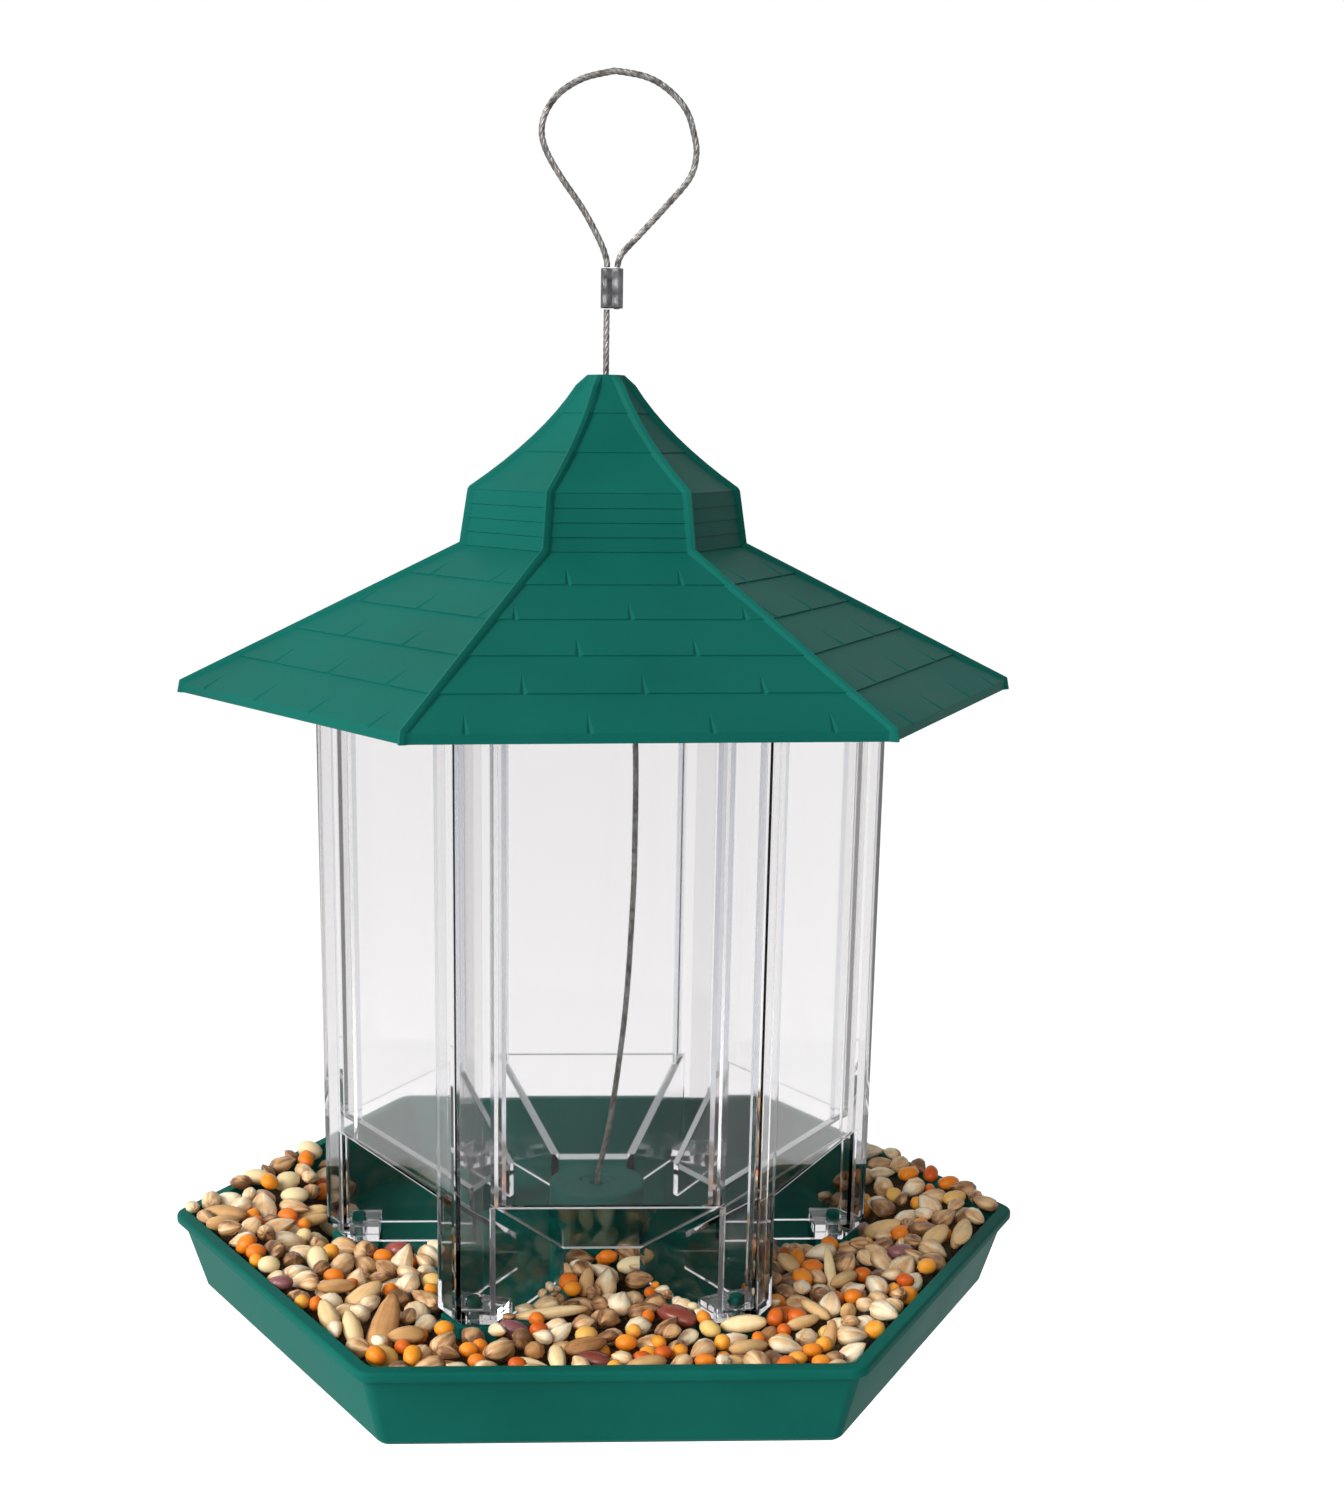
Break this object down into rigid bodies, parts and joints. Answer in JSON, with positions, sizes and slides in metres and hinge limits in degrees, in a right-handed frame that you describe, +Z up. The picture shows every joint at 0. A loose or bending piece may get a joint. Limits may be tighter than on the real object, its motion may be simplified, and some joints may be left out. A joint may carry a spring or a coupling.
{
  "type": "hanging bird feeder",
  "caption": "Hexagonal hanging seed feeder: pagoda roof sliding on a steel cable, clear panel hopper with ports, and a wide catch tray, hung from a cable loop.",
  "frame": {"origin": "where the inside of the cable's loop bears on its hook, on the feeder's vertical axis", "axes": "+Z up along the hanging axis; -Y out of the front panel; +X to the right seen from the front, through a corner of the tray"},
  "size_m": [0.2198, 0.192, 0.3027],
  "materials": {
    "green_plastic": "satin moulded plastic, dark blue-green",
    "clear_plastic": "clear, polished",
    "steel_cable": "stranded steel wire",
    "alloy_fittings": "dull, crimped"
  },
  "bodies": {
    "suspension": {"suspension_cable": "steel_cable", "hanging_loop": "steel_cable", "crimp_sleeve": "alloy_fittings", "stop_ferrule": "alloy_fittings", "stop_washer": "alloy_fittings"},
    "feeder": {"tray": "green_plastic", "clear_panel_1": "clear_plastic", "clear_panel_2": "clear_plastic", "clear_panel_3": "clear_plastic", "clear_panel_4": "clear_plastic", "clear_panel_5": "clear_plastic", "clear_panel_6": "clear_plastic"},
    "roof": {"roof": "green_plastic"}
  },
  "joints": [
    {"name": "feeder_spin", "type": "hinge", "parent": "suspension", "child": "feeder", "pos_m": [0, 0, -0.27377], "axis": [0, 0, 1], "continuous": true},
    {"name": "roof_lift", "type": "slide", "parent": "feeder", "child": "roof", "axis": [0, 0, 1], "range_m": [0, 0.015]}
  ]
}
